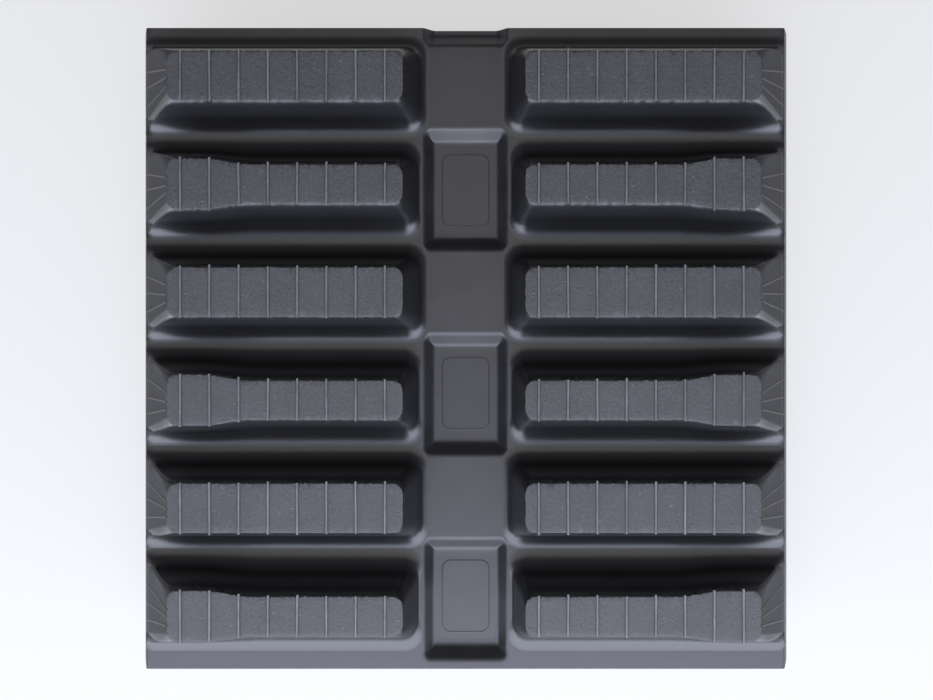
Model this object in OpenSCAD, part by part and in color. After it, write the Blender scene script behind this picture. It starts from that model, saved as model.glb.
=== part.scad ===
// Straight section of a rubber crawler track, cut square at both ends.
// X runs across the track, Y along it and Z out of the tread. The guide
// horns' tips stand on z = 0 and the middle of the section is over the origin.

/* [Track] */
// Distance between two steel cores along the track
pitch = 100; // [90:1:110]
// Width over the flanks
track_w = 320; // [300:5:360]
// Length of the section between its two cut ends
section_l = 313; // [305:1:320]
// Distance from the section's middle to the core nearest to it
core_shift = 27.5; // [24:0.5:30]

/* [Carcass] */
// Thickness from the roller paths to the valleys of the tread
carcass_t = 24; // [22:1:30]
// Width of each flexing valley between two rows of lugs
web_w = 12; // [10:1:14]
// How much narrower the carcass is at the tread than at the flanks, per side
flank_flare = 4; // [1:0.5:5]
// Gap between a guide horn's root and the roller path beside it
roller_path_gap = 3; // [2.5:0.5:5]
// Outer limit of the raised roller paths, from the middle
roller_path_x = 86; // [70:1:95]
// Height of the roller paths above the outer part of the inner face
roller_path_rise = 3; // [1:0.5:4]
// Height of the roller paths above the middle of the inner face
middle_recess = 1.5; // [1:0.5:2]

/* [Lugs] */
// Height of the lugs above the valleys
lug_h = 25; // [15:1:30]
// Inner end of the lug face, from the middle
lug_in_x = 28.4; // [26:0.2:34]
// Outer end of the lug face, from the middle
lug_out_x = 137.5; // [125:0.5:140]
// Width along the track of a straight lug's face
lug_face_w = 22.3; // [16:0.1:26]
// Width along the track of every lug at its foot
lug_foot_w = 34; // [30:0.5:36]
// Width of a waisted lug's face at its outer end
waist_out_w = 23; // [18:0.5:26]
// Width of a waisted lug's face at its inner end
waist_in_w = 17.4; // [12:0.2:20]

/* [Windows] */
// Width of a sprocket window across the track
window_w = 40; // [34:1:42]
// Length of a sprocket window along the track
window_l = 55; // [50:1:58]
// Depth of the tread pocket over a window
pocket_d = 5.5; // [3:0.5:7]
// Thickness of the membrane between window and pocket
membrane_t = 4; // [2:0.5:5]

/* [Steel core] */
// Length of a core over its wings
core_l = 236; // [200:2:240]
// Width of a wing along the track
wing_w = 34; // [28:1:36]
// Thickness of a wing
wing_t = 7; // [5:0.5:8]
// Width of the bridging bar along the track
bar_w = 30; // [24:1:34]
// Height of the bridging bar
bar_h = 16; // [12:1:17]

/* [Guide horns] */
// Height of the rubber-covered horns below the roller paths
horn_h = 28; // [20:1:34]
// Distance between the two horns of a core at their roots
horn_gap = 42; // [41:1:46]
// Width of a covered horn at its root
horn_root_w = 22; // [18:1:24]
// Length of a covered horn at its root
horn_root_l = 44; // [36:1:46]
// Width of a covered horn at its tip
horn_tip_w = 12; // [10:1:16]
// Length of a covered horn at its tip
horn_tip_l = 26; // [20:1:34]
// Thickness of the rubber over a horn
horn_cover_t = 3.2; // [2:0.2:4]

/* [Steel cords] */
// Diameter of a cord
cord_d = 3.4; // [2.4:0.1:3.6]
// Distance between neighbouring cords
cord_step = 6.4; // [5:0.2:6.6]
// Cords on each side of the windows
cord_count = 14; // [8:1:14]
// First cord's distance from the middle
cord_in_x = 47; // [46:1:52]

/* [Hidden] */
ROWS = 6;
CORE_ROWS = [1, 3, 5];
WINDOW_ROWS = [2, 4, 6];
SIDES = [["left", -1], ["right", 1]];

row_step = pitch / 2;
row_block = row_step - web_w;
inner_z = horn_h;
middle_z = inner_z + middle_recess;
base_z = inner_z + carcass_t;
face_z = base_z + lug_h;
edge_x = track_w / 2;
tread_edge_x = edge_x - flank_flare;
cut_y = section_l / 2;
path_in_x = horn_gap / 2 + horn_root_w + roller_path_gap;
path_slope_w = 4;
flank_slope_w = 6;
flank_low_z = inner_z + 9;
flank_high_z = inner_z + 14;

floor_z = base_z - pocket_d;
window_top_z = floor_z - membrane_t;
pocket_floor = [33, 49];
pocket_rim = [40.5, 59];

wing_z = inner_z + 3.5;
bar_z = inner_z + 3;
bar_half_x = 42;
wing_corner_r = 7;
bar_corner_r = 5;
cord_z = inner_z + 14;

lug_inner_foot_x = 21;
lug_outer_foot_x = tread_edge_x - 2;
waist_from_x = 99;
waist_to_x = 120;
waist_steps = 6;
over = 1;

// Middle of row i, of the valley below it, and of the window on it. Row 0 is
// cut off: only the near end of its window is on the section.
function row_y(i) = core_shift + (3 - i) * row_step;
function web_y(j) = row_y(j) - row_step / 2;
function row_top_y(i) = i == 1 ? cut_y : row_y(i) + row_block / 2;
function row_low_y(i) = i == ROWS ? -cut_y : row_y(i) - row_block / 2;
function has_core(i) = i % 2 == 1;
function cord_x(k) = cord_in_x + k * cord_step;

// Half the face width of a waisted lug at x: narrow inside, wide outside,
// with a smooth S between.
function waist_half(x) =
    let (t = min(1, max(0, (x - waist_from_x) / (waist_to_x - waist_from_x))))
    (waist_in_w + (waist_out_w - waist_in_w) * (1 - cos(180 * t)) / 2) / 2;

module rounded_rect(w, h, r) {
    square([w - 2 * r, h], center = true);
    square([w, h - 2 * r], center = true);
    for (x = [-1, 1])
        for (y = [-1, 1])
            translate([x * (w / 2 - r), y * (h / 2 - r)])
                circle(r = r, $fn = 48);
}

// A block with sloping sides: low [x, y] sizes at z0 and high sizes at z1.
module wedge_block(low, high, z0, z1) {
    intersection() {
        rotate([90, 0, 0])
            linear_extrude(height = 2 * max(low[1], high[1]), center = true)
                polygon([[-low[0] / 2, z0], [low[0] / 2, z0],
                         [high[0] / 2, z1], [-high[0] / 2, z1]]);
        rotate([90, 0, 90])
            linear_extrude(height = 2 * max(low[0], high[0]), center = true)
                polygon([[-low[1] / 2, z0], [low[1] / 2, z0],
                         [high[1] / 2, z1], [-high[1] / 2, z1]]);
    }
}

// The carcass's section, extruded along the track from y0 to y1. Its inner
// face has a roller path on each side of the recessed middle, where the horns
// stand.
module belt(y0, y1) {
    right = [[path_in_x - middle_recess, middle_z], [path_in_x, inner_z],
             [roller_path_x, inner_z],
             [roller_path_x + path_slope_w, inner_z + roller_path_rise],
             [edge_x - flank_slope_w, inner_z + roller_path_rise],
             [edge_x, flank_low_z], [edge_x, flank_high_z],
             [tread_edge_x, base_z]];
    left = [for (k = [len(right) - 1:-1:0]) [-right[k][0], right[k][1]]];
    translate([0, y1, 0])
        rotate([90, 0, 0])
            linear_extrude(height = y1 - y0)
                polygon(concat(right, left));
}

// The sprocket window of row i, open to the inner side.
module window_space(i) {
    translate([-window_w / 2, row_y(i) - window_l / 2, inner_z - over])
        cube([window_w, window_l, window_top_z - inner_z + over]);
}

// The recess in the tread over the window of row i.
module pocket_space(i) {
    rise = over / pocket_d;
    translate([0, row_y(i), 0])
        wedge_block(pocket_floor, pocket_rim + rise * (pocket_rim - pocket_floor),
                    floor_z, base_z + over);
}

module horn(side, root, tip, z0, z1) {
    translate([side * (horn_gap + horn_root_w) / 2, 0, 0])
        wedge_block(tip, root, z0, z1);
}

module core_shape(i) {
    t = 2 * horn_cover_t;
    root = [horn_root_w - t, horn_root_l - t];
    tip = [horn_tip_w - t, horn_tip_l - t];
    wing_l = core_l / 2 - bar_half_x + wing_corner_r;
    translate([0, row_y(i), 0]) {
        rotate([90, 0, 90])
            linear_extrude(height = 2 * bar_half_x, center = true)
                translate([0, bar_z + bar_h / 2])
                    rounded_rect(bar_w, bar_h, bar_corner_r);
        for (s = SIDES) {
            translate([s[1] * (core_l - wing_l) / 2, 0, wing_z])
                linear_extrude(height = wing_t)
                    rounded_rect(wing_l, wing_w, wing_corner_r);
            horn(s[1], root, tip, horn_cover_t, middle_z);
            translate([s[1] * (horn_gap + horn_root_w) / 2 - root[0] / 2,
                       -bar_w / 2 + bar_corner_r, middle_z])
                cube([root[0], bar_w - 2 * bar_corner_r, bar_h / 2]);
        }
    }
}

module cords(y0, y1, d) {
    for (s = SIDES)
        for (k = [0:cord_count - 1])
            translate([s[1] * cord_x(k), y1, cord_z])
                rotate([90, 0, 0])
                    cylinder(h = y1 - y0, d = d, $fn = 32);
}

// Steel core: wings, bridging bar and the two horns' steel.
module steel_core(i) {
    color("dimgray") core_shape(i);
}

// Rubber over one guide horn, open at its root for the steel.
module horn_cover(i, side) {
    color([0.12, 0.12, 0.13])
        difference() {
            translate([0, row_y(i), 0])
                horn(side, [horn_root_w, horn_root_l], [horn_tip_w, horn_tip_l],
                     0, middle_z);
            core_shape(i);
        }
}

// Carcass rubber of one row, with the cavities for its core and cords, and
// the window and pocket of its own row or of the cut row 0.
module carcass(i) {
    color([0.14, 0.14, 0.15])
        difference() {
            belt(row_low_y(i), row_top_y(i));
            if (has_core(i)) core_shape(i);
            if (i == 1) {
                window_space(0);
                pocket_space(0);
            }
            if (!has_core(i)) {
                window_space(i);
                pocket_space(i);
                membrane_shape(i);
            }
            cords(row_low_y(i) - over, row_top_y(i) + over, cord_d);
        }
}

module membrane_shape(i) {
    y0 = max(row_low_y(i), row_y(i) - window_l / 2);
    translate([-window_w / 2, y0, window_top_z])
        cube([window_w, row_top_y(i) - y0, membrane_t]);
}

// Thin rubber that closes a window under its tread pocket.
module window_membrane(i) {
    color([0.17, 0.17, 0.18]) membrane_shape(i);
}

// Straight tread bar.
module straight_lug(side) {
    intersection() {
        rotate([90, 0, 0])
            linear_extrude(height = 2 * lug_foot_w, center = true)
                polygon([[side * lug_inner_foot_x, base_z], [side * lug_in_x, face_z],
                         [side * lug_out_x, face_z], [side * lug_outer_foot_x, base_z]]);
        rotate([90, 0, 90])
            linear_extrude(height = 2 * track_w, center = true)
                polygon([[-lug_foot_w / 2, base_z], [lug_foot_w / 2, base_z],
                         [lug_face_w / 2, face_z], [-lug_face_w / 2, face_z]]);
    }
}

// Tread bar whose face is narrow inside and wide outside, lofted through
// cross-sections along X.
module waisted_lug(side) {
    step = (waist_to_x - waist_from_x) / waist_steps;
    stations = concat([[lug_inner_foot_x, lug_in_x]],
        [for (k = [0:waist_steps]) let (x = waist_from_x + k * step) [x, x]],
        [[lug_outer_foot_x, lug_out_x]]);
    points = [for (s = stations) each
        [[side * s[0], -lug_foot_w / 2, base_z], [side * s[0], lug_foot_w / 2, base_z],
         [side * s[1], waist_half(s[1]), face_z], [side * s[1], -waist_half(s[1]), face_z]]];
    last = 4 * (len(stations) - 1);
    rings = [for (k = [0:len(stations) - 2]) for (c = [0:3])
        let (a = 4 * k + c, b = 4 * k + (c + 1) % 4) [a, b, b + 4, a + 4]];
    faces = concat([[3, 2, 1, 0]], rings, [[last, last + 1, last + 2, last + 3]]);
    polyhedron(points, [for (f = faces) side > 0 ? f : [for (n = [3:-1:0]) f[n]]]);
}

module lug(i, side) {
    color([0.2, 0.2, 0.21])
        translate([0, row_y(i), 0])
            if (has_core(i)) straight_lug(side);
            else waisted_lug(side);
}

// Longitudinal cords inside one row.
module steel_cords(i) {
    color("silver") cords(row_low_y(i), row_top_y(i), cord_d);
}

// Rubber of the flexing valley between rows j and j + 1, with the end of the
// window and pocket that reach into it.
module flex_web(j) {
    window_row = has_core(j) ? j + 1 : j;
    color([0.1, 0.1, 0.11])
        difference() {
            belt(web_y(j) - web_w / 2, web_y(j) + web_w / 2);
            window_space(window_row);
            pocket_space(window_row);
            cords(web_y(j) - web_w, web_y(j) + web_w, cord_d);
        }
}

// Cords that cross the valley between rows j and j + 1.
module web_cords(j) {
    color("silver") cords(web_y(j) - web_w / 2, web_y(j) + web_w / 2, cord_d);
}

for (i = CORE_ROWS) {
    steel_core(i);
    for (s = SIDES)
        horn_cover(i, s[1]);
}
for (i = [1:ROWS]) {
    carcass(i);
    steel_cords(i);
    for (s = SIDES)
        lug(i, s[1]);
}
for (i = WINDOW_ROWS)
    window_membrane(i);
for (j = [1:ROWS - 1]) {
    flex_web(j);
    web_cords(j);
}
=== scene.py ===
"""Looks for a straight section of rubber crawler track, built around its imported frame.

X runs across the track, Y along it and Z out of the tread, all in metres. Every rubber part of the
frame is replaced by a moulded piece with its fillets, fins and flash. Steel parts keep their frame
meshes and get a finish.
"""

import math

import bmesh
import bpy
import numpy as np
from bpy.props import FloatProperty, FloatVectorProperty, IntProperty, PointerProperty
from bpy.types import Operator, Panel, PropertyGroup
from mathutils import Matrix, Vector


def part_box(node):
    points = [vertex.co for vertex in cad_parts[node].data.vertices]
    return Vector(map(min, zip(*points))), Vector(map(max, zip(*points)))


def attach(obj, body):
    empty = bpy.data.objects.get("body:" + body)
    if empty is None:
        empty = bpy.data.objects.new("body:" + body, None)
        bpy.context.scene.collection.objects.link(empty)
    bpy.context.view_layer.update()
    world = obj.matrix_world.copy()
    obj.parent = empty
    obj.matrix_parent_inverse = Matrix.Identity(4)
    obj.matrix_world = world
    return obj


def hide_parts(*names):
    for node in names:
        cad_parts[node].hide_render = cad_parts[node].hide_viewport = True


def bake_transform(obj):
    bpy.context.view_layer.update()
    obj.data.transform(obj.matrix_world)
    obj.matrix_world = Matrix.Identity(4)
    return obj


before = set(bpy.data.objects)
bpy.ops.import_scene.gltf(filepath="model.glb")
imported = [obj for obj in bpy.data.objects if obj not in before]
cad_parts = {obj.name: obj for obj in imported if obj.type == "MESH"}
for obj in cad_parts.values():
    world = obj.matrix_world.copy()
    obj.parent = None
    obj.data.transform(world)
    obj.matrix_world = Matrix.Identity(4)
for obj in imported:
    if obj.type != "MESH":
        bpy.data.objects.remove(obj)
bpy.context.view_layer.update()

bl_info = {
    "name": "Rubber Track Section",
    "version": (1, 0, 0),
    "blender": (4, 5, 0),
    "location": "View3D > Sidebar > Track",
    "description": "Builds the moulded rubber pieces of a crawler-track section",
    "category": "Object",
}

MM = 0.001
SIDES = {"left": -1, "right": 1}
ROWS = range(1, 7)
CORE_ROWS = (1, 3, 5)
WINDOW_ROWS = (2, 4, 6)
VALLEYS = range(1, 6)
FIN_OFFSET = 1.0 * MM  # both fin groups sit this far towards -X
TREAD_EDGE = 155.7 * MM  # half the width of the belt's tread side


def span(node, axis):
    """Lowest and highest place of a frame node along one axis."""
    low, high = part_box(node)
    return low[axis], high[axis]


def middle(node, axis):
    """Middle of a frame node along one axis."""
    return sum(span(node, axis)) / 2


ROW_Y = {i: middle(f"lug_left_{i}", 1) for i in ROWS}
ROW_STEP = ROW_Y[1] - ROW_Y[2]
ROW_Y[0] = ROW_Y[1] + ROW_STEP  # the row beyond the +Y cut, whose window is cut through
BASE_Z = span("carcass_3", 2)[1]
INNER_Z = span("carcass_3", 2)[0]
MIDDLE_Z = span("horn_cover_left_3", 2)[1]
FACE_Z = span("lug_left_3", 2)[1]
LUG_H = FACE_Z - BASE_Z
POCKET_Z = span("window_membrane_2", 2)[1]
WINDOW_Z = span("window_membrane_2", 2)[0]
WINDOW_X = span("window_membrane_2", 0)[1]
CORD_Z = middle("steel_cords_3", 2)
BURIED_Z = BASE_Z - 0.6 * MM  # hidden bottoms of the lugs and fillets, inside the belt


# ---------------------------------------------------------------- sizes and colours


def length(name, text, value):
    """A size in millimetres, shown in Blender's length unit."""
    return FloatProperty(name=name, description=text, default=value * MM, min=0, unit="LENGTH")


def colour(name, text, value):
    """A linear RGB colour."""
    return FloatVectorProperty(name=name, description=text, default=value, size=3,
                               min=0, max=1, subtype="COLOR")


class TrackShape(PropertyGroup):
    """Sizes of the moulded rubber."""

    face_in: length("Face inner end", "Where a lug's face starts, from the middle", 28.4)
    face_out: length("Face outer end", "Where a lug's face stops, from the middle", 137.5)
    face_half: length("Face half width", "Half the width of a straight lug's face", 11.15)
    waist_half: length("Waist half width", "Half the narrow width of a waisted face", 8.7)
    shoulder_half: length("Shoulder half width", "Half the wide width of a waisted face", 11.5)
    waist_from: length("Waist from", "Where the waisted face starts to widen", 99)
    waist_to: length("Waist to", "Where the waisted face has its full width", 120)
    foot_half: length("Foot half width", "Half the width of a lug where it meets the belt", 18.3)
    foot_waist: length("Waisted foot", "Half the foot's width at the waist", 16.9)
    foot_out: length("Outer foot", "Where the outer end slope meets the belt", 155.3)
    foot_in: length("Inner foot", "Where a straight lug's inner end meets the belt", 21)
    foot_in_window: length("Inner foot at a window", "The same beside a window pocket", 23)
    corner: length("Corner radius", "Radius of a lug face's corners in plan", 4.7)
    fin_h: length("Fin height", "Height of the vent fins", 0.7)
    fin_w: length("Fin width", "Width of the vent fins at their foot", 1.1)
    fin_first: length("First fin", "Distance of the innermost fin from the middle", 35.6)
    fin_step: length("Fin step", "Distance between neighbouring fins", 13.53)
    fins: IntProperty(name="Fins", description="Vent fins on each face", default=8, min=0)
    pocket_x: length("Pocket half width", "Half the width of a window pocket's rim", 20.3)
    pocket_y: length("Pocket half length", "Half the length of a window pocket's rim", 29.5)


class TrackColours(PropertyGroup):
    """Colours of rubber, steel and studio."""

    face: colour("Lug face", "Dull rubber of the lug faces", (0.024, 0.024, 0.0246))
    moulded: colour("Moulded rubber", "Walls, valleys and belt", (0.0075, 0.0075, 0.008))
    # Painted highlight: a lighter colour along each lug's outer corner, where it faces outward and
    # towards -Y.
    hip_highlight: colour("Hip highlight", "Painted highlight along a lug's outer corner", (0.06, 0.06, 0.057))
    flash: colour("Flash", "Vent fins and mould flash", (0.06, 0.06, 0.061))
    sawn: colour("Sawn rubber", "Cut ends", (0.022, 0.022, 0.023))
    cord: colour("Cord", "Brass-washed steel cord", (0.5, 0.42, 0.3))
    core: colour("Core", "Cast steel core", (0.16, 0.15, 0.145))
    floor: colour("Floor", "Studio floor, which glows a little", (0.12, 0.12, 0.12))


# ---------------------------------------------------------------- shader expressions


class Wire:
    """A node's output, for plain arithmetic in a material."""

    def __init__(self, nodes, socket):
        self.nodes, self.socket = nodes, socket

    def math(self, operation, *values, clamp=False):
        """A Math node fed with those values."""
        settings = {"operation": operation, "use_clamp": clamp}
        return self.nodes.add("ShaderNodeMath", settings, dict(enumerate(values)))

    def __add__(self, other):
        return self.math("ADD", self, other)

    def __sub__(self, other):
        return self.math("SUBTRACT", self, other)

    def __mul__(self, other):
        return self.math("MULTIPLY", self, other)

    def __rsub__(self, other):
        return self.math("SUBTRACT", other, self)

    def __abs__(self):
        return self.math("ABSOLUTE", self)

    __radd__, __rmul__ = __add__, __mul__

    def fract(self):
        return self.math("FRACT", self)

    def clamp(self):
        return self.math("ADD", self, 0, clamp=True)

    def rise(self, start, reach):
        """0 below start, 1 beyond start + reach and a straight rise between."""
        return ((self - start) * (1 / reach)).clamp()


class Nodes:
    """The node tree of one material."""

    def __init__(self, name):
        self.material = bpy.data.materials.new(name)
        self.material.use_nodes = True
        self.tree = self.material.node_tree
        self.shader = self.tree.nodes["Principled BSDF"]

    def add(self, kind, settings=None, values=None, output=0):
        """A new node: settings first, then the values or links of its sockets."""
        node = self.tree.nodes.new(kind)
        for key, value in (settings or {}).items():
            if key == "stops":
                self.set_stops(node.color_ramp, value)
            else:
                setattr(node, key, value)
        for key, value in (values or {}).items():
            self.feed(node.inputs[key], value)
        return Wire(self, node.outputs[output])

    @staticmethod
    def set_stops(ramp, stops):
        """Grey stops of a colour ramp, each a place and a value."""
        while len(ramp.elements) < len(stops):
            ramp.elements.new(1)
        for element, (place, value) in zip(ramp.elements, stops):
            element.position = place
            element.color = (value, value, value, 1)

    def feed(self, socket, value):
        """Links a wire to a socket, or sets a plain value on it."""
        if isinstance(value, Wire):
            self.tree.links.new(value.socket, socket)
        elif socket.type == "RGBA" and len(value) == 3:
            socket.default_value = (*value, 1)
        else:
            socket.default_value = value

    def noise(self, size, detail=3, rough=0.55, at=None):
        """Noise from 0 to 1 with grains of about that size in metres."""
        values = {"Vector": at or self.place(), "Scale": 1 / size, "Detail": detail,
                  "Roughness": rough}
        return self.add("ShaderNodeTexNoise", {}, values)

    def place(self):
        """Object coordinates, in metres."""
        return self.add("ShaderNodeTexCoord", output="Object")

    def stretched(self, x, y, z):
        """Object coordinates scaled per axis."""
        return self.add("ShaderNodeVectorMath", {"operation": "MULTIPLY"},
                        {0: self.place(), 1: (x, y, z)})

    def ramp(self, wire, *stops):
        """A value bent through (place, value) stops."""
        return self.add("ShaderNodeValToRGB", {"stops": stops}, {0: wire})

    def mix(self, share, one, other):
        """Colour one where share is 0 and the other where it is 1."""
        return self.add("ShaderNodeMix", {"data_type": "RGBA"},
                        {"Factor": share, 6: one, 7: other}, output=2)

    def split(self, vector):
        """The X, Y and Z of a vector."""
        node = self.add("ShaderNodeSeparateXYZ", {}, {0: vector})
        return [Wire(self, s) for s in node.socket.node.outputs]

    def bump(self, height, distance, strength=1.0):
        """A normal bent by a height from 0 to 1 that stands for that distance."""
        return self.add("ShaderNodeBump", {},
                        {"Height": height, "Distance": distance, "Strength": strength})

    def finish(self, **values):
        """Feeds the shader's sockets, named with _ for a space, and returns the material."""
        for key, value in values.items():
            self.feed(self.shader.inputs[key.replace("_", " ")], value)
        return self.material


def tint(rgb, share):
    """A colour made lighter or darker."""
    return tuple(min(1.0, c * share) for c in rgb)


def moulded_rubber(name, rgb, gloss=0.33):
    """Satin rubber from the mould: fine grain, a faint bloom in patches, smooth sheen."""
    n = Nodes(name)
    grain = n.noise(0.35 * MM, 2)
    bloom = n.noise(14 * MM, 4, 0.6)
    flow = n.noise(5 * MM, 3, 0.5, at=n.stretched(0.35, 1, 1))
    patch = n.ramp(bloom, (0.35, 0.0), (0.75, 1.0))
    speck = n.ramp(n.noise(0.9 * MM, 1), (0.68, 0.0), (0.76, 1.0))
    shade = (patch * 0.35 + speck * 0.12).clamp()
    rough = gloss + patch * 0.09 + grain * 0.08 + flow * 0.05
    bump = n.bump(grain * 0.08 + flow * 0.5, 0.14 * MM, 0.6)
    return n.finish(Base_Color=n.mix(shade, rgb, tint(rgb, 3.2)), Roughness=rough, Normal=bump,
                    Specular_IOR_Level=0.5)


def tread_rubber(name, face_rgb, wall_rgb, highlight_rgb, shape):
    """Lug rubber: dull, lighter and finely pitted on the face, satin on the walls, with a painted
    highlight along the outer corners. The face carries painted shade in its pits and in a thin line
    along each vent fin."""
    n = Nodes(name)
    across, _, height = n.split(n.place())
    facing = n.split(n.add("ShaderNodeTexCoord", output="Normal"))[0]
    end_slope = abs(facing).rise(0.35, 0.25) * (abs(across) - shape.waist_to) * (1 / MM)
    end_slope = end_slope.clamp() * height.rise(BASE_Z, 3 * MM)
    # Painted shade: a thin dark line on the face beside each vent fin, where the fin shades it.
    turns = (abs(across + FIN_OFFSET) - shape.fin_first) * (1 / shape.fin_step) + 0.5
    from_fin = abs((turns.fract() - 0.5) * shape.fin_step)
    painted_fin_shade = 1 - from_fin.rise(0.63 * MM, 0.45 * MM)
    on_face = height.rise(FACE_Z - 0.3 * MM, 0.2 * MM)
    grain = n.noise(0.3 * MM, 2)
    mottle = n.noise(1.6 * MM, 4, 0.7)
    cloud = n.noise(22 * MM, 3, 0.6)
    flow = n.noise(5 * MM, 3, 0.5, at=n.stretched(0.35, 1, 1))
    pits = n.ramp(n.noise(1.1 * MM, 1), (0.25, 1.0), (0.31, 0.0))
    specks = n.ramp(n.noise(1.3 * MM, 1, at=n.stretched(1, 1.1, 0.9)), (0.72, 0.0), (0.80, 1.0))
    dust = (cloud * 0.5 + mottle * 1.5 + grain * 1.1 - 1.1).clamp()
    face = n.mix(dust, tint(face_rgb, 0.45), tint(face_rgb, 1.8))
    face = n.mix(specks * 0.6, face, tint(face_rgb, 5))
    # Painted shade: the face is darkened in its pits and beside each vent fin.
    face = n.mix((pits * 0.7 + painted_fin_shade * 0.9).clamp(), face, tint(face_rgb, 0.2))
    wall = n.mix((cloud * 0.7 + specks * 0.15).clamp(), wall_rgb, tint(wall_rgb, 1.6))
    # Painted highlight: the walls are made lighter along each lug's outer corner that faces outward
    # and towards -Y.
    highlight_mask = n.add("ShaderNodeAttribute", {"attribute_name": "wear"}, output="Fac")
    wall = n.mix((highlight_mask * (0.8 + mottle * 0.4)).clamp(), wall, highlight_rgb)
    rough_face = 0.48 + mottle * 0.36
    rough_wall = 0.28 + grain * 0.05 + cloud * 0.05 + end_slope * 0.34
    height_map = (grain * 0.08 + flow * 0.5) * (1 - on_face)
    height_map = height_map + (grain * 1.1 + mottle * 2.6 - pits * 2.5) * on_face
    bump = n.bump(height_map, 0.14 * MM, 0.6)
    return n.finish(Base_Color=n.mix(on_face, wall, face),
                    Roughness=rough_face * on_face + rough_wall * (1 - on_face), Normal=bump,
                    Specular_IOR_Level=0.5)


def sawn_rubber(name, rgb):
    """Cut end: fine upright saw marks in matt rubber."""
    n = Nodes(name)
    marks = n.noise(0.8 * MM, 3, 0.6, at=n.stretched(1, 1, 0.06))
    broad = n.noise(7 * MM, 3, 0.6, at=n.stretched(1, 1, 0.15))
    crumbs = n.noise(0.5 * MM, 2)
    shade = (marks * 0.5 + broad * 0.5).clamp()
    return n.finish(Base_Color=n.mix(shade, tint(rgb, 0.6), tint(rgb, 1.5)),
                    Roughness=0.7 + crumbs * 0.15, Normal=n.bump(marks + crumbs * 0.4, 0.25 * MM, 0.8))


def cord_steel(name, rgb):
    """Brass-washed wire, a little dull."""
    n = Nodes(name)
    stain = n.noise(1.2 * MM, 3)
    return n.finish(Base_Color=n.mix(stain, tint(rgb, 0.6), rgb), Metallic=1.0,
                    Roughness=0.3 + stain * 0.25, Normal=n.bump(n.noise(0.3 * MM), 0.1 * MM, 0.5))


def cast_steel(name, rgb):
    """Shot-blasted casting."""
    n = Nodes(name)
    pits = n.noise(0.8 * MM, 4, 0.7)
    scale = n.noise(9 * MM, 3)
    return n.finish(Base_Color=n.mix(scale, tint(rgb, 0.7), tint(rgb, 1.3)), Metallic=1.0,
                    Roughness=0.5 + pits * 0.25, Normal=n.bump(pits, 0.3 * MM, 0.7))


def studio_floor(name, rgb):
    """Pale paper that glows a little, so that it looks even."""
    n = Nodes(name)
    paper = n.noise(3 * MM, 2)
    return n.finish(Base_Color=n.mix(paper * 0.2, rgb, tint(rgb, 1.05)), Roughness=0.8,
                    Emission_Color=(1.0, 1.0, 1.0), Emission_Strength=0.6)


MAKERS = {
    "lug_finish": lambda c: tread_rubber("lug_finish", c.face, c.moulded, c.hip_highlight,
                                         bpy.context.scene.track_shape),
    "belt_finish": lambda c: moulded_rubber("belt_finish", c.moulded),
    "horn_finish": lambda c: moulded_rubber("horn_finish", c.moulded, gloss=0.45),
    "flash_finish": lambda c: moulded_rubber("flash_finish", c.flash, gloss=0.4),
    "sawn_finish": lambda c: sawn_rubber("sawn_finish", c.sawn),
    "cord_finish": lambda c: cord_steel("cord_finish", c.cord),
    "core_finish": lambda c: cast_steel("core_finish", c.core),
    "floor_finish": lambda c: studio_floor("floor_finish", c.floor),
}


def material(name):
    """The finish of that name, made when first asked for."""
    made = bpy.data.materials.get(name)
    return made or MAKERS[name](bpy.context.scene.track_colours)


# ---------------------------------------------------------------- meshes


def piece(name, points, faces, finishes, sharp=40, marks=None):
    """A mesh object from points and faces. marks gives each face's place in finishes."""
    mesh = bpy.data.meshes.new(name)
    mesh.from_pydata([tuple(p) for p in points], [], [tuple(f) for f in faces])
    for finish in finishes:
        mesh.materials.append(material(finish))
    if marks is not None:
        mesh.polygons.foreach_set("material_index", marks)
    bm = bmesh.new()
    bm.from_mesh(mesh)
    bmesh.ops.recalc_face_normals(bm, faces=bm.faces)
    bm.to_mesh(mesh)
    bm.free()
    mesh.polygons.foreach_set("use_smooth", [True] * len(mesh.polygons))
    mesh.set_sharp_from_angle(angle=math.radians(sharp))
    made = bpy.data.objects.new(name, mesh)
    bpy.context.scene.collection.objects.link(made)
    return made


class Shell:
    """Points and faces gathered for one piece, ring by ring, with the points that get a painted
    highlight along a lug's outer corner, and how much."""

    def __init__(self):
        self.points, self.faces, self.wear = [], [], {}

    def ring(self, points):
        """Adds points and returns their indices."""
        start = len(self.points)
        self.points.extend(points)
        return list(range(start, len(self.points)))

    def join(self, one, other, closed=True):
        """Quads between two rings of the same length."""
        count = len(one)
        for k in range(count if closed else count - 1):
            m = (k + 1) % count
            self.faces.append((one[k], one[m], other[m], other[k]))

    def tube(self, rings, closed=True):
        """Quads along a row of rings."""
        for one, other in zip(rings, rings[1:]):
            self.join(one, other, closed)

    def rod(self, sections):
        """A closed solid lofted through sections of equal length, with flat ends."""
        rings = [self.ring(s) for s in sections]
        self.tube(rings)
        self.faces += [tuple(rings[0]), tuple(rings[-1])]


def smooth(t):
    """0 below 0, 1 above 1 and a smooth S between."""
    t = np.clip(t, 0, 1)
    return t * t * (3 - 2 * t)


def round_rectangle(x, y, half_x, half_y, radius, z, steps):
    """Points of a level rectangle with round corners, about a middle."""
    ring = []
    for side_x, side_y, first in ((1, 1, 0), (-1, 1, 90), (-1, -1, 180), (1, -1, 270)):
        for turn in np.radians(np.linspace(first, first + 90, steps + 1)):
            ring.append((x + side_x * (half_x - radius) + radius * math.cos(turn),
                         y + side_y * (half_y - radius) + radius * math.sin(turn), z))
    return ring


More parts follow.
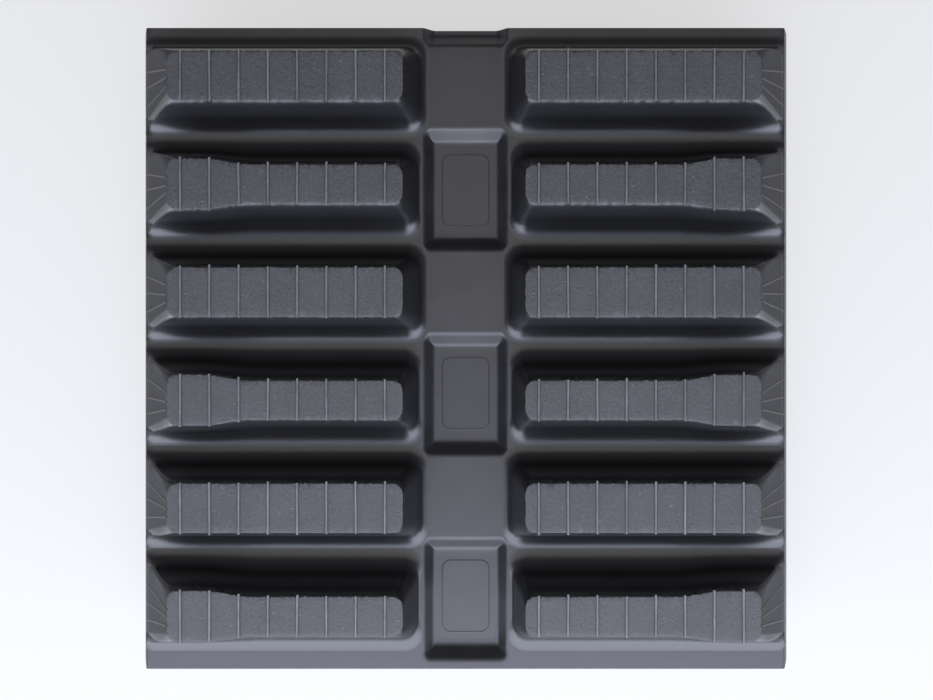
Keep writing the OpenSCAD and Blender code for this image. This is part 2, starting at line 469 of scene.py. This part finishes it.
def fillet(run, radius, steps):
    """Steps down a wall's foot fillet: (distance out from the wall's foot line, height). The
    first steps are the finest, so that its shading meets the wall's."""
    slope = math.atan2(1, run)
    reach = radius * math.tan(slope / 2)
    for k in range(steps + 1):
        turn = slope * (1 - (k / steps) ** 1.3)
        yield reach - radius * math.sin(turn), radius * (1 - math.cos(turn))


class LugForm:
    """Plan and walls of one lug. Distances along X are from the middle, outward."""

    CORNER_STEPS, END_STEPS = 7, 8
    COLUMN = 0.9 * MM
    STRETCH = 32 * MM  # how far from an end the columns spread with its slope
    SHARPEN = {"out": 0.35, "in": -0.4}  # share of a corner's radius lost at its foot
    BOW = 0.62  # below 1, a long wall is steepest at its foot
    OUT_FILLET, IN_FILLET, IN_FILLET_AT_WINDOW = 0.6 * MM, 4.2 * MM, 1.6 * MM

    def __init__(self, shape, waisted, beside_window):
        self.shape, self.waisted = shape, waisted
        self.foot_in = shape.foot_in_window if beside_window else shape.foot_in
        self.in_run = (shape.face_in - self.foot_in) / LUG_H
        self.out_run = (shape.foot_out - shape.face_out) / LUG_H
        self.in_radius = self.IN_FILLET_AT_WINDOW if beside_window else self.IN_FILLET

    def widen(self, x, narrow, wide):
        """From the narrow to the wide value along the waisted stretch."""
        s = self.shape
        return narrow + (wide - narrow) * smooth((x - s.waist_from) / (s.waist_to - s.waist_from))

    def half(self, x):
        """Half the face's width at a place along the lug."""
        s = self.shape
        return self.widen(x, s.waist_half, s.shoulder_half) if self.waisted else s.face_half

    def foot(self, x):
        """Half the foot's width at a place along the lug."""
        s = self.shape
        return self.widen(x, s.foot_waist, s.foot_half) if self.waisted else s.foot_half

    def sharpen(self, x):
        """Share of the plan radius that is lost towards the foot, at a place along the lug."""
        s = self.shape
        share = smooth((x - s.face_in) / (s.face_out - s.face_in))
        return self.SHARPEN["in"] + (self.SHARPEN["out"] - self.SHARPEN["in"]) * share

    def outline(self):
        """The face's edge as (point, normal, spread): spread is how the point moves per metre
        of drop down the wall. It runs from the inner end along +Y, round and back along -Y."""
        s, r = self.shape, self.shape.corner
        side = []
        for k in range(self.CORNER_STEPS):
            turn = math.pi / 2 * (1 - k / self.CORNER_STEPS)
            side.append((s.face_in + r, -math.sin(turn), math.cos(turn), "in"))
        steps = round((s.face_out - s.face_in - 2 * r) / self.COLUMN)
        for x in np.linspace(s.face_in + r, s.face_out - r, steps + 1):
            side.append((x, 0.0, 1.0, "side"))
        for k in range(1, self.CORNER_STEPS + 1):
            turn = math.pi / 2 * k / self.CORNER_STEPS
            side.append((s.face_out - r, math.sin(turn), math.cos(turn), "out"))
        upper = []
        for x, nx, ny, zone in side:
            centre_y = self.half(x) - r
            lose = r * self.sharpen(x) / LUG_H
            side_run = (self.foot(x) - self.half(x)) / LUG_H + lose
            inward = 1 - smooth((x - s.face_in - r) / self.STRETCH)
            outward = 1 - smooth((s.face_out - r - x) / self.STRETCH)
            move_x = (self.out_run + lose) * outward - (self.in_run + lose) * inward
            point = (x + r * nx, centre_y + r * ny)
            spread = (move_x - lose * nx, side_run - lose * ny)
            upper.append((point, (nx, ny), spread))
        ends = {}
        for name, at, x in (("out", s.face_out, s.face_out - r), ("in", s.face_in, s.face_in + r)):
            outward = 1 if name == "out" else -1
            reach = self.half(x) - r
            lose = r * self.SHARPEN[name] / LUG_H
            run = self.out_run if name == "out" else self.in_run
            side_run = (self.foot(x) - self.half(x)) / LUG_H + lose
            ends[name] = [((at, reach * v), (outward, 0.0), (outward * run, side_run * v))
                          for v in np.linspace(1, -1, self.END_STEPS + 1)[1:-1]]
        lower = [((p[0], -p[1]), (n[0], -n[1]), (d[0], -d[1])) for p, n, d in reversed(upper)]
        return upper + ends["out"] + lower + ends["in"][::-1], len(upper)

    def drift(self, normal, drop):
        """Share of a wall's run that is reached at a drop below the face."""
        share = min(1.0, max(0.0, drop / LUG_H))
        along = normal[1] ** 2
        return share + (share ** self.BOW - share) * along

    def wall(self, point, normal, spread):
        """Run of the wall per drop at its foot, along its normal, and the foot fillet's radius.
        A long side's fillet ends halfway to the next row."""
        along = normal[1] ** 2
        run = (normal[0] * spread[0] + normal[1] * spread[1]) * (1 + (self.BOW - 1) * along)
        gap = ROW_STEP / 2 - abs(point[1] + spread[1] * LUG_H)
        side_radius = gap / math.tan(math.atan2(1, run) / 2)
        end_radius = self.OUT_FILLET if normal[0] > 0 else self.in_radius
        return run, end_radius + (side_radius - end_radius) * along


EDGE_R = 0.2 * MM  # softened edge of a lug's face
SHOULDER = 1.2 * EDGE_R  # how far down the wall the edge reaches
EDGE_STEPS = (0, 0.3, 0.55, 0.8)
WALL_STEPS, FILLET_STEPS = 7, 12
FLASH = 0.16 * MM  # how ragged the flash is along a face's edge


def edge_profile(form, p, n, d, ragged):
    """The softened edge of a face at one point of its outline, as (place, height)."""
    onto_wall = d * LUG_H * form.drift(n, SHOULDER)
    profile = []
    for t in EDGE_STEPS:
        lip = n * ragged * 4 * t * (1 - t)
        profile.append((p - n * EDGE_R * (1 - t) ** 2 + onto_wall * t ** 2 + lip,
                        FACE_Z - SHOULDER * t ** 2))
    return profile


def fillet_section(form, p, n, d, run, steps):
    """Cross-section of the foot fillet below one point of the outline, as (place, height): down
    its curve, then round through the belt and the lug, where it is hidden."""
    section = []
    for out, rise in steps:
        if out < 0:
            place = p + d * LUG_H * form.drift(n, LUG_H + out / run)
        else:
            place = p + d * LUG_H + n * out
        section.append((place, BASE_Z + rise + 0.02 * MM))
    (start, start_z), end = section[0], section[-1][0]
    inside = start - n * 1.5 * MM
    return section + [(end + n * 0.1 * MM, BASE_Z - 0.1 * MM), (end, BURIED_Z),
                      (inside, BURIED_Z), (inside, max(start_z - 1 * MM, BURIED_Z + 0.1 * MM))]


def corner_highlight(n):
    """How much painted highlight a wall gets, from its normal in plan: most where it faces halfway
    between outward and -Y, and gone about 35 degrees from there."""
    return float(smooth(2.2 - abs(math.degrees(math.atan2(-n[1], n[0])) - 45) / 16))


def lug_shell(form, side, y, rng):
    """Closed solid of one lug: face, softened edge, drafted walls and a hidden bottom just
    inside the belt. Also returns the cross-sections of its foot fillet, one for each point of
    the outline, for its half towards +Y and its half towards -Y."""
    shell = Shell()
    outline, columns = form.outline()
    burrs = rng.normal(0, 1, len(outline))
    profiles, sections = [], []

    def at(point, z):
        return (side * min(point[0], TREAD_EDGE), y + point[1], z)

    for (p, n, d), burr in zip(outline, burrs):
        p, n, d = np.array(p), np.array(n), np.array(d)
        run, radius = form.wall(p, n, d)
        ragged = FLASH * burr * (1.3 if n[1] > 0.5 else 0.6)
        steps = list(fillet(run, radius, FILLET_STEPS))
        lowest = LUG_H - steps[0][1]
        profile = edge_profile(form, p, n, d, ragged)
        for m in range(WALL_STEPS):
            drop = SHOULDER + (lowest - SHOULDER) * m / WALL_STEPS
            profile.append((p + d * LUG_H * form.drift(n, drop), FACE_Z - drop))
        section = fillet_section(form, p, n, d, run, steps)
        start, start_z = section[0]
        inside = start - n * 0.4 * MM
        profile += [(start, start_z), (inside, start_z - 0.4 * MM), (inside, BURIED_Z)]
        profiles.append([at(point, z) for point, z in profile])
        sections.append([at(point, z) for point, z in section])
    rings = [shell.ring(ring) for ring in zip(*profiles)]
    # The painted highlight's share at each outline point on the outer corner towards -Y.
    for ring in rings:
        for index, (_, n, _) in zip(ring, outline):
            if n[0] > 0 and n[1] < 0:
                shell.wear[index] = corner_highlight(n)
    shell.tube(rings)
    fill_outline(shell, rings[0], columns, form.END_STEPS)
    fill_outline(shell, rings[-1], columns, form.END_STEPS)
    half_end = form.END_STEPS // 2
    out_middle = columns + half_end - 1
    in_middle = 2 * columns + form.END_STEPS + half_end - 2
    lower = sections[out_middle:in_middle + 1]
    upper = sections[in_middle:] + sections[:out_middle + 1]
    return shell, upper, lower


def fill_outline(shell, ring, columns, rows):
    """Fills a lug-shaped ring with a grid: one column for each point of its long side."""
    upper, lower = ring[:columns], ring[columns + rows - 1:2 * columns + rows - 1][::-1]
    outer = ring[columns:columns + rows - 1]
    inner = ring[2 * columns + rows - 1:][::-1]
    points = shell.points
    lines = []
    for c in range(columns):
        if c == 0 or c == columns - 1:
            lines.append([upper[c], *(inner if c == 0 else outer), lower[c]])
            continue
        top, bottom = np.array(points[upper[c]]), np.array(points[lower[c]])
        between = [tuple(top + (bottom - top) * k / rows) for k in range(1, rows)]
        lines.append([upper[c], *shell.ring(between), lower[c]])
    shell.tube(lines, closed=False)


def belt_x():
    """Places across the belt, close together at the pocket and window walls."""
    half = [0, 5, 9.5, *np.arange(12.5, 24, 0.45), 25, 28, 33, 38, 42, *np.arange(43.5, 47.1, 0.5),
            50, 60, 70, 80, 84.5, *np.arange(85.5, 91.6, 1), 94, 105, 118, 130, 142, 150, 153]
    half = np.array(half) * MM
    return np.concatenate([-half[:0:-1], half])


# The belt's flank from the tread side down to the inner side, as (x, z) in millimetres: a soft
# edge, a slope, a low rib at the parting line and a slope back in.
FLANK = [(154.4, 52.0), (155.2, 51.86), (155.7, 51.55), (156.0, 51.1), (156.9, 48.7),
         (158.0, 45.8), (159.0, 43.3), (159.5, 41.9), (159.7, 41.1), (160.0, 40.7),
         (160.0, 40.1), (159.7, 39.7), (159.7, 38.0), (159.3, 36.7), (157.4, 34.2),
         (155.4, 32.1), (154.5, 31.3), (153.8, 31.02)]


def rounded_gap(x, y, half_x, half_y, radius, squash=1.0):
    """How far a place is outside a rectangle with round corners; squash scales Y's slope."""
    dx, dy = np.abs(x) - half_x + radius, (np.abs(y) - half_y) * squash + radius
    outside = np.hypot(np.maximum(dx, 0), np.maximum(dy, 0))
    return outside + np.minimum(np.maximum(dx, dy), 0) - radius


# Walls as (distance outside the rim, share of the full depth).
POCKET_WALL = np.array([(-6.0, 1.0), (-5.2, 0.985), (-4.6, 0.95), (-4.0, 0.87), (-3.4, 0.75),
                        (-0.6, 0.15), (0.0, 0.055), (0.6, 0.012), (1.2, 0.0)]) * (MM, 1)
WINDOW_WALL = np.array([(-4.4, 1.0), (-3.0, 0.985), (-2.0, 0.93), (-1.3, 0.82), (-0.7, 0.3),
                        (-0.3, 0.1), (0.3, 0.03), (1.2, 0.0)]) * (MM, 1)
POCKET_R, WINDOW_R = 3.4 * MM, 4 * MM
WINDOW_HALF_Y = 27.5 * MM
PATH_X = (46.2 * MM, 85.5 * MM)  # a roller path's inner and outer edge
OUTER_RISE = 3 * MM  # the inner side lies this much higher outside the roller paths
VALLEY_RISE = 1 * MM  # and this much more in the valleys, from VALLEY_RISE_X outward
VALLEY_RISE_X = 90 * MM


def tread_z(x, y, shape):
    """Height of the belt's tread side, with its window pockets."""
    drop = np.zeros(np.broadcast(x, y).shape)
    for i in (0, *WINDOW_ROWS):
        gap = rounded_gap(x, y - ROW_Y[i], shape.pocket_x, shape.pocket_y, POCKET_R, 0.8)
        drop = np.maximum(drop, np.interp(gap, POCKET_WALL[:, 0], POCKET_WALL[:, 1]))
    return BASE_Z - (BASE_Z - POCKET_Z) * drop


def under_z(x, y):
    """Height of the belt's inner side, with its roller paths and sprocket windows."""
    x, y = np.broadcast_arrays(x, y)
    z = INNER_Z + OUTER_RISE * smooth((np.abs(x) - PATH_X[1]) / (5 * MM))
    z = z + (MIDDLE_Z - INNER_Z) * smooth((PATH_X[0] - np.abs(x)) / (2 * MM))
    for j in VALLEYS:
        near = 1 - smooth(np.abs(y - (ROW_Y[j] + ROW_Y[j + 1]) / 2) / (7 * MM))
        z = z + VALLEY_RISE * near * smooth((np.abs(x) - VALLEY_RISE_X) / (5 * MM))
    for i in (0, *WINDOW_ROWS):
        gap = rounded_gap(x, y - ROW_Y[i], WINDOW_X, WINDOW_HALF_Y, WINDOW_R)
        share = np.interp(gap, WINDOW_WALL[:, 0], WINDOW_WALL[:, 1])
        z = z + (WINDOW_Z - z) * share
    return z


def belt_places(low, high):
    """Places along the belt between two cuts, close together at pocket and window ends."""
    places = set(np.linspace(low, high, 6)) | {low, high}
    for i in (0, *WINDOW_ROWS):
        for side in (-1, 1):
            for away in np.arange(22.6, 31.4, 0.45):
                places.add(ROW_Y[i] + side * away * MM)
    inside = sorted(y for y in places if low <= y <= high)
    least = 0.2 * MM
    kept = [inside[0]]
    for y in inside[1:]:
        if y - kept[-1] > least:
            kept.append(y)
    kept[-1] = high
    return kept


def belt_piece(name, low, high, shape, sawn=()):
    """A closed length of belt between two cuts across it. sawn names its sawn ends."""
    shell = Shell()
    xs = belt_x()
    flank = np.array(FLANK) * MM
    rings = []
    for y in belt_places(low, high):
        top = [(x, y, z) for x, z in zip(xs, tread_z(xs, y, shape))]
        under = [(x, y, z) for x, z in zip(xs, under_z(xs, np.full(len(xs), y)))]
        right = [(x, y, z) for x, z in flank]
        left = [(-x, y, z) for x, z in flank[::-1]]
        rings.append(shell.ring(top + right + under[::-1] + left))
    shell.tube(rings)
    marks = [0] * len(shell.faces)
    count, side = len(xs), len(flank)
    for ring, end in ((rings[0], "low"), (rings[-1], "high")):
        top, under = ring[:count], ring[count + side:2 * count + side][::-1]
        start = len(shell.faces)
        shell.join(top, under, closed=False)
        shell.faces.append((top[-1], *ring[count:count + side], under[-1]))
        shell.faces.append((top[0], *ring[2 * count + side:][::-1], under[0]))
        marks += [1 if end in sawn else 0] * (len(shell.faces) - start)
    return piece(name, shell.points, shell.faces, ["belt_finish", "sawn_finish"], 35, marks)


def row_body(i):
    """The frame's body that carries a row."""
    return f"row_{i}"


# ---------------------------------------------------------------- operators


class TRACK_OT_lugs(Operator):
    """Builds the two tread lugs of every row"""

    bl_idname = "track.lugs"
    bl_label = "Tread Lugs"

    def execute(self, context):
        shape = context.scene.track_shape
        rng = np.random.default_rng(11)
        fillets = {}
        for i in ROWS:
            form = LugForm(shape, i in WINDOW_ROWS, i in WINDOW_ROWS)
            for name, side in SIDES.items():
                shell, upper, lower = lug_shell(form, side, ROW_Y[i], rng)
                fillets.setdefault((name, i - 1), Shell()).rod(upper)
                fillets.setdefault((name, i), Shell()).rod(lower)
                lug = piece(f"tread_lug_{name}_{i}", shell.points, shell.faces, ["lug_finish"])
                # Stores the painted corner highlight on the lug's points.
                wear = lug.data.attributes.new("wear", "FLOAT", "POINT")
                wear.data.foreach_set("value", [shell.wear.get(k, 0.0)
                                                for k in range(len(shell.points))])
                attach(lug, row_body(i))
                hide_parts(f"lug_{name}_{i}")
        for (name, j), shell in fillets.items():
            self.fillet_piece(name, j, shell)
        return {"FINISHED"}

    def fillet_piece(self, name, j, shell):
        """The foot fillets of both lugs beside a valley, left without a parent in each inner valley.
        Valleys 0 and 6 are the section's ends, with one lug each, and ride on their row."""
        made = piece(f"valley_fillet_{name}_{j}", shell.points, shell.faces, ["lug_finish"])
        if j in VALLEYS:
            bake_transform(made)
        else:
            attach(made, row_body(max(j, 1)))


class TRACK_OT_fins(Operator):
    """Builds the vent fins across each lug face and the fan fins at its outer end"""

    bl_idname = "track.fins"
    bl_label = "Vent Fins"

    # a fin's cross-section, in shares of its width and height
    SECTION = ((-0.5, -0.25), (-0.42, 0.45), (-0.2, 0.95), (0.2, 1.0), (0.42, 0.5), (0.5, -0.25))
    FANS = ((3.0, 7.6), (-0.6, -0.9), (-4.5, -9.7))  # from and to across the row, in mm
    FAN_W, FAN_H = 0.95 * MM, 0.5 * MM

    def face_fin(self, shell, x, y, form, shape, rng):
        """One fin across a face, overrunning both edges by about a millimetre."""
        half = form.half(abs(x)) + 0.2 * MM
        low, high = -half - rng.uniform(0.3, 1.0) * MM, half + rng.uniform(0.4, 1.4) * MM
        lean = rng.normal(0, 0.12 * MM)
        sections = []
        for t in np.linspace(0, 1, 9):
            swell = 1.0 + rng.normal(0, 0.06)
            blob = 1.35 if t == 0 else 1.0
            at = x + lean * (t - 0.5)
            sections.append([(at + shape.fin_w * u * blob * swell, y + low + (high - low) * t,
                              FACE_Z + shape.fin_h * v * swell) for u, v in self.SECTION])
        shell.rod(sections)

    def fan_fin(self, shell, side, y, start, end, shape):
        """One thin fin down the outer end slope to the belt's edge."""
        along = np.array([shape.foot_out - shape.face_out, end - start])
        across = np.array([-along[1], along[0]]) / np.hypot(*along) * self.FAN_W
        sections = []
        for x, in_row, rise in ((shape.face_out, start, LUG_H), (shape.foot_out, end, 0)):
            sections.append([(side * (x + across[0] * u), y + in_row + across[1] * u,
                              BASE_Z + rise + self.FAN_H * v) for u, v in self.SECTION])
        shell.rod(sections)

    def execute(self, context):
        shape = context.scene.track_shape
        rng = np.random.default_rng(23)
        for i in ROWS:
            form = LugForm(shape, i in WINDOW_ROWS, i in WINDOW_ROWS)
            for name, side in SIDES.items():
                shell = Shell()
                for k in range(shape.fins):
                    x = side * (shape.fin_first + k * shape.fin_step) - FIN_OFFSET
                    self.face_fin(shell, x, ROW_Y[i], form, shape, rng)
                marks = [0] * len(shell.faces)
                for start, end in self.FANS:
                    start += rng.normal(0, 0.25)
                    end += rng.normal(0, 0.3)
                    self.fan_fin(shell, side, ROW_Y[i], start * MM, end * MM, shape)
                marks += [1] * (len(shell.faces) - len(marks))
                fins = piece(f"vent_fins_{name}_{i}", shell.points, shell.faces,
                             ["flash_finish", "belt_finish"], 60, marks)
                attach(fins, row_body(i))
        return {"FINISHED"}


class TRACK_OT_belt(Operator):
    """Builds the belt: a stiff length under each row and a flexing web in each valley"""

    bl_idname = "track.belt"
    bl_label = "Belt and Webs"

    def execute(self, context):
        shape = context.scene.track_shape
        bare = 0.15 * MM  # the cord ends stand this far out of the sawn rubber
        for i in ROWS:
            low, high = span(f"carcass_{i}", 1)
            sawn = ()
            if i == ROWS[0]:
                sawn = ("high",)
                high -= bare
            if i == ROWS[-1]:
                sawn = ("low",)
                low += bare
            belt = belt_piece(f"belt_{i}", low, high, shape, sawn)
            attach(belt, row_body(i))
            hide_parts(f"carcass_{i}")
        for j in VALLEYS:
            low, high = span(f"flex_web_{j}", 1)
            web = belt_piece(f"valley_web_{j}", low, high, shape)
            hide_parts(f"flex_web_{j}")
            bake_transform(web)
        return {"FINISHED"}


class TRACK_OT_membranes(Operator):
    """Builds the thin membranes over the windows, each with a plain insert outline"""

    bl_idname = "track.membranes"
    bl_label = "Window Membranes"

    PROUD, EDGE = 0.04 * MM, 0.5 * MM  # how far it stands out of the belt, and its bevel
    WALL_FOOT = 4.4 * MM  # how far inside the window's rim its wall ends
    LOW_END = 24 * MM  # its -Y end is at most this far from the row's middle
    INSERT = (11.5 * MM, 17.6 * MM, 4 * MM)  # half width, half length and corner radius
    LINE = ((0.35, -0.1), (0.22, 0.26), (-0.12, 0.3), (-0.35, -0.1))  # (out, up) in mm

    def outline(self, shell, y, z):
        """A thin raised line round the insert."""
        rings = []
        for out, up in self.LINE:
            half_x, half_y, radius = (size + out * MM for size in self.INSERT)
            ring = round_rectangle(0, y, half_x, half_y, radius, z + up * MM, 8)
            rings.append(shell.ring(ring))
        shell.tube([*rings, rings[0]])

    def execute(self, context):
        half_x, edge = WINDOW_X - self.WALL_FOOT, self.EDGE
        top, under = POCKET_Z + self.PROUD, WINDOW_Z - self.PROUD
        for i in WINDOW_ROWS:
            low, high = span(f"window_membrane_{i}", 1)
            low = max(low, ROW_Y[i] - self.LOW_END)
            shell = Shell()
            sections = []
            for y in np.linspace(low, high, 12):
                sections.append([(-half_x, y, under + edge), (-half_x + edge, y, under),
                                 *((x, y, under) for x in np.linspace(-0.8, 0.8, 5) * half_x),
                                 (half_x - edge, y, under), (half_x, y, under + edge),
                                 (half_x, y, top - edge), (half_x - edge, y, top),
                                 *((x, y, top) for x in np.linspace(0.8, -0.8, 5) * half_x),
                                 (-half_x + edge, y, top), (-half_x, y, top - edge)])
            shell.rod(sections)
            self.outline(shell, ROW_Y[i], top)
            membrane = piece(f"membrane_{i}", shell.points, shell.faces, ["belt_finish"])
            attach(membrane, row_body(i))
            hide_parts(f"window_membrane_{i}")
        return {"FINISHED"}


class TRACK_OT_horns(Operator):
    """Builds the rubber over the guide horns, with soft edges and a flared root"""

    bl_idname = "track.horns"
    bl_label = "Guide Horns"

    # (share of the height, growth from the tip's size to the root's, corner radius in CORNERs)
    LEVELS = ((0.0, -0.42, 1.0), (0.012, -0.2, 1.0), (0.05, -0.06, 1.1), (0.11, 0.06, 1.2),
              (0.25, 0.25, 1.3), (0.45, 0.45, 1.4), (0.65, 0.65, 1.5), (0.8, 0.81, 1.6),
              (0.9, 0.98, 1.8), (0.96, 1.14, 2.1), (1.0, 1.34, 2.4), (1.02, 1.4, 2.4))

    TIP_X, TIP_Y = 6 * MM, 13 * MM  # half a tip's width and length
    CORNER = 3 * MM

    def execute(self, context):
        for i in CORE_ROWS:
            for name in SIDES:
                node = f"horn_cover_{name}_{i}"
                low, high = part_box(node)
                centre = (low + high) / 2
                root_x, root_y = (high.x - low.x) / 2, (high.y - low.y) / 2
                shell = Shell()
                sections = []
                for share, grow, radius in self.LEVELS:
                    half_x = self.TIP_X + (root_x - self.TIP_X) * grow
                    half_y = self.TIP_Y + (root_y - self.TIP_Y) * grow
                    z = low.z + (high.z - low.z) * share
                    sections.append(round_rectangle(centre.x, centre.y, half_x, half_y,
                                                    self.CORNER * radius, z, 6))
                shell.rod(sections)
                horn = piece(f"guide_horn_{name}_{i}", shell.points, shell.faces,
                             ["horn_finish"], 50)
                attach(horn, row_body(i))
                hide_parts(node)
        return {"FINISHED"}


class TRACK_OT_steel(Operator):
    """Finishes the steel cores and cords, and builds straight cords across each valley"""

    bl_idname = "track.steel"
    bl_label = "Cores and Cords"

    CORD_R = 1.7 * MM

    def execute(self, context):
        for name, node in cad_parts.items():
            if name.startswith("steel_"):
                finish = "core_finish" if "core" in name else "cord_finish"
                node.data.materials.clear()
                node.data.materials.append(material(finish))
        places = self.cord_places()
        radius = self.CORD_R
        for j in VALLEYS:
            low, high = span(f"web_cords_{j}", 1)
            shell = Shell()
            for x in places:
                shell.rod([[(x + radius * math.cos(a), y, CORD_Z + radius * math.sin(a))
                            for a in np.linspace(0, 2 * math.pi, 10, endpoint=False)]
                           for y in np.linspace(low, high, 7)])
            cords = piece(f"valley_cords_{j}", shell.points, shell.faces, ["cord_finish"])
            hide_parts(f"web_cords_{j}")
            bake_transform(cords)
        return {"FINISHED"}

    def cord_places(self):
        """Each cord's place across the belt, read from the end faces of the frame's cords."""
        points = [v.co.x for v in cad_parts["steel_cords_3"].data.vertices]
        found = []
        for x in sorted(points):
            if not found or x - found[-1][-1] > 1 * MM:
                found.append([x])
            else:
                found[-1].append(x)
        return [(group[0] + group[-1]) / 2 for group in found]


class TRACK_OT_stage(Operator):
    """Sets the floor, the studio lights and the camera"""

    bl_idname = "track.stage"
    bl_label = "Studio"

    HALF_FLOOR = 30  # metres
    LENS = 37.8
    SHIFT = (-0.0252, -0.0595)
    CAMERA = (0.012, 0.0263, BASE_Z + 0.478)

    def light(self, name, place, target, size, power, rgb):
        """A soft rectangular lamp that faces a target."""
        lamp = bpy.data.lights.new(name, "AREA")
        lamp.shape, lamp.size, lamp.size_y = "RECTANGLE", size[0], size[1]
        lamp.energy, lamp.color = power, rgb
        made = bpy.data.objects.new(name, lamp)
        made.location = place
        aim = Vector(target) - Vector(place)
        made.rotation_euler = aim.to_track_quat("-Z", "Y").to_euler()
        made.visible_camera = False
        bpy.context.scene.collection.objects.link(made)

    def execute(self, context):
        half = self.HALF_FLOOR
        floor = piece("floor", [(-half, -half, 0), (half, -half, 0), (half, half, 0),
                                (-half, half, 0)], [(0, 1, 2, 3)], ["floor_finish"])
        self.light("key", (0.0, -0.7, 1.15), (0, 0, 0.05), (1.6, 0.8), 8, (0.6, 0.7, 1.0))
        self.light("low", (0.0, -0.62, 0.44), (0, 0, 0.06), (2.6, 0.8), 44, (0.8, 0.84, 1.0))
        self.light("top", (0.0, 0.1, 1.5), (0, 0, 0.05), (1.6, 1.3), 10, (1.0, 0.96, 0.94))
        world = bpy.data.worlds.new("studio")
        world.use_nodes = True
        sky = world.node_tree.nodes["Background"].inputs
        sky["Color"].default_value = (0.9, 0.93, 1.0, 1)
        sky["Strength"].default_value = 0.2
        context.scene.world = world
        lens = bpy.data.cameras.new("camera")
        lens.sensor_width, lens.lens = 36, self.LENS
        lens.shift_x, lens.shift_y = self.SHIFT
        camera = bpy.data.objects.new("camera", lens)
        camera.location = self.CAMERA
        context.scene.collection.objects.link(camera)
        context.scene.camera = camera
        context.scene.view_settings.view_transform = "Standard"
        return {"FINISHED"}


class TRACK_PT_sidebar(Panel):
    """Sizes, colours and build steps of the track section"""

    bl_label = "Rubber Track"
    bl_space_type = "VIEW_3D"
    bl_region_type = "UI"
    bl_category = "Track"

    def draw(self, context):
        for step in STEPS:
            self.layout.operator(step.bl_idname)
        for group in (context.scene.track_shape, context.scene.track_colours):
            box = self.layout.box()
            for name in group.__annotations__:
                box.prop(group, name)


STEPS = (TRACK_OT_lugs, TRACK_OT_fins, TRACK_OT_belt, TRACK_OT_membranes, TRACK_OT_horns,
         TRACK_OT_steel, TRACK_OT_stage)
CLASSES = (TrackShape, TrackColours, *STEPS, TRACK_PT_sidebar)


def register():
    """Adds the classes and the scene's two groups of settings."""
    for kind in CLASSES:
        bpy.utils.register_class(kind)
    bpy.types.Scene.track_shape = PointerProperty(type=TrackShape)
    bpy.types.Scene.track_colours = PointerProperty(type=TrackColours)


def unregister():
    """Takes them away again."""
    del bpy.types.Scene.track_colours
    del bpy.types.Scene.track_shape
    for kind in reversed(CLASSES):
        bpy.utils.unregister_class(kind)


def main():
    """Builds everything."""
    register()
    for step in STEPS:
        group, name = step.bl_idname.split(".")
        getattr(getattr(bpy.ops, group), name)()


if __name__ == "__main__":
    main()
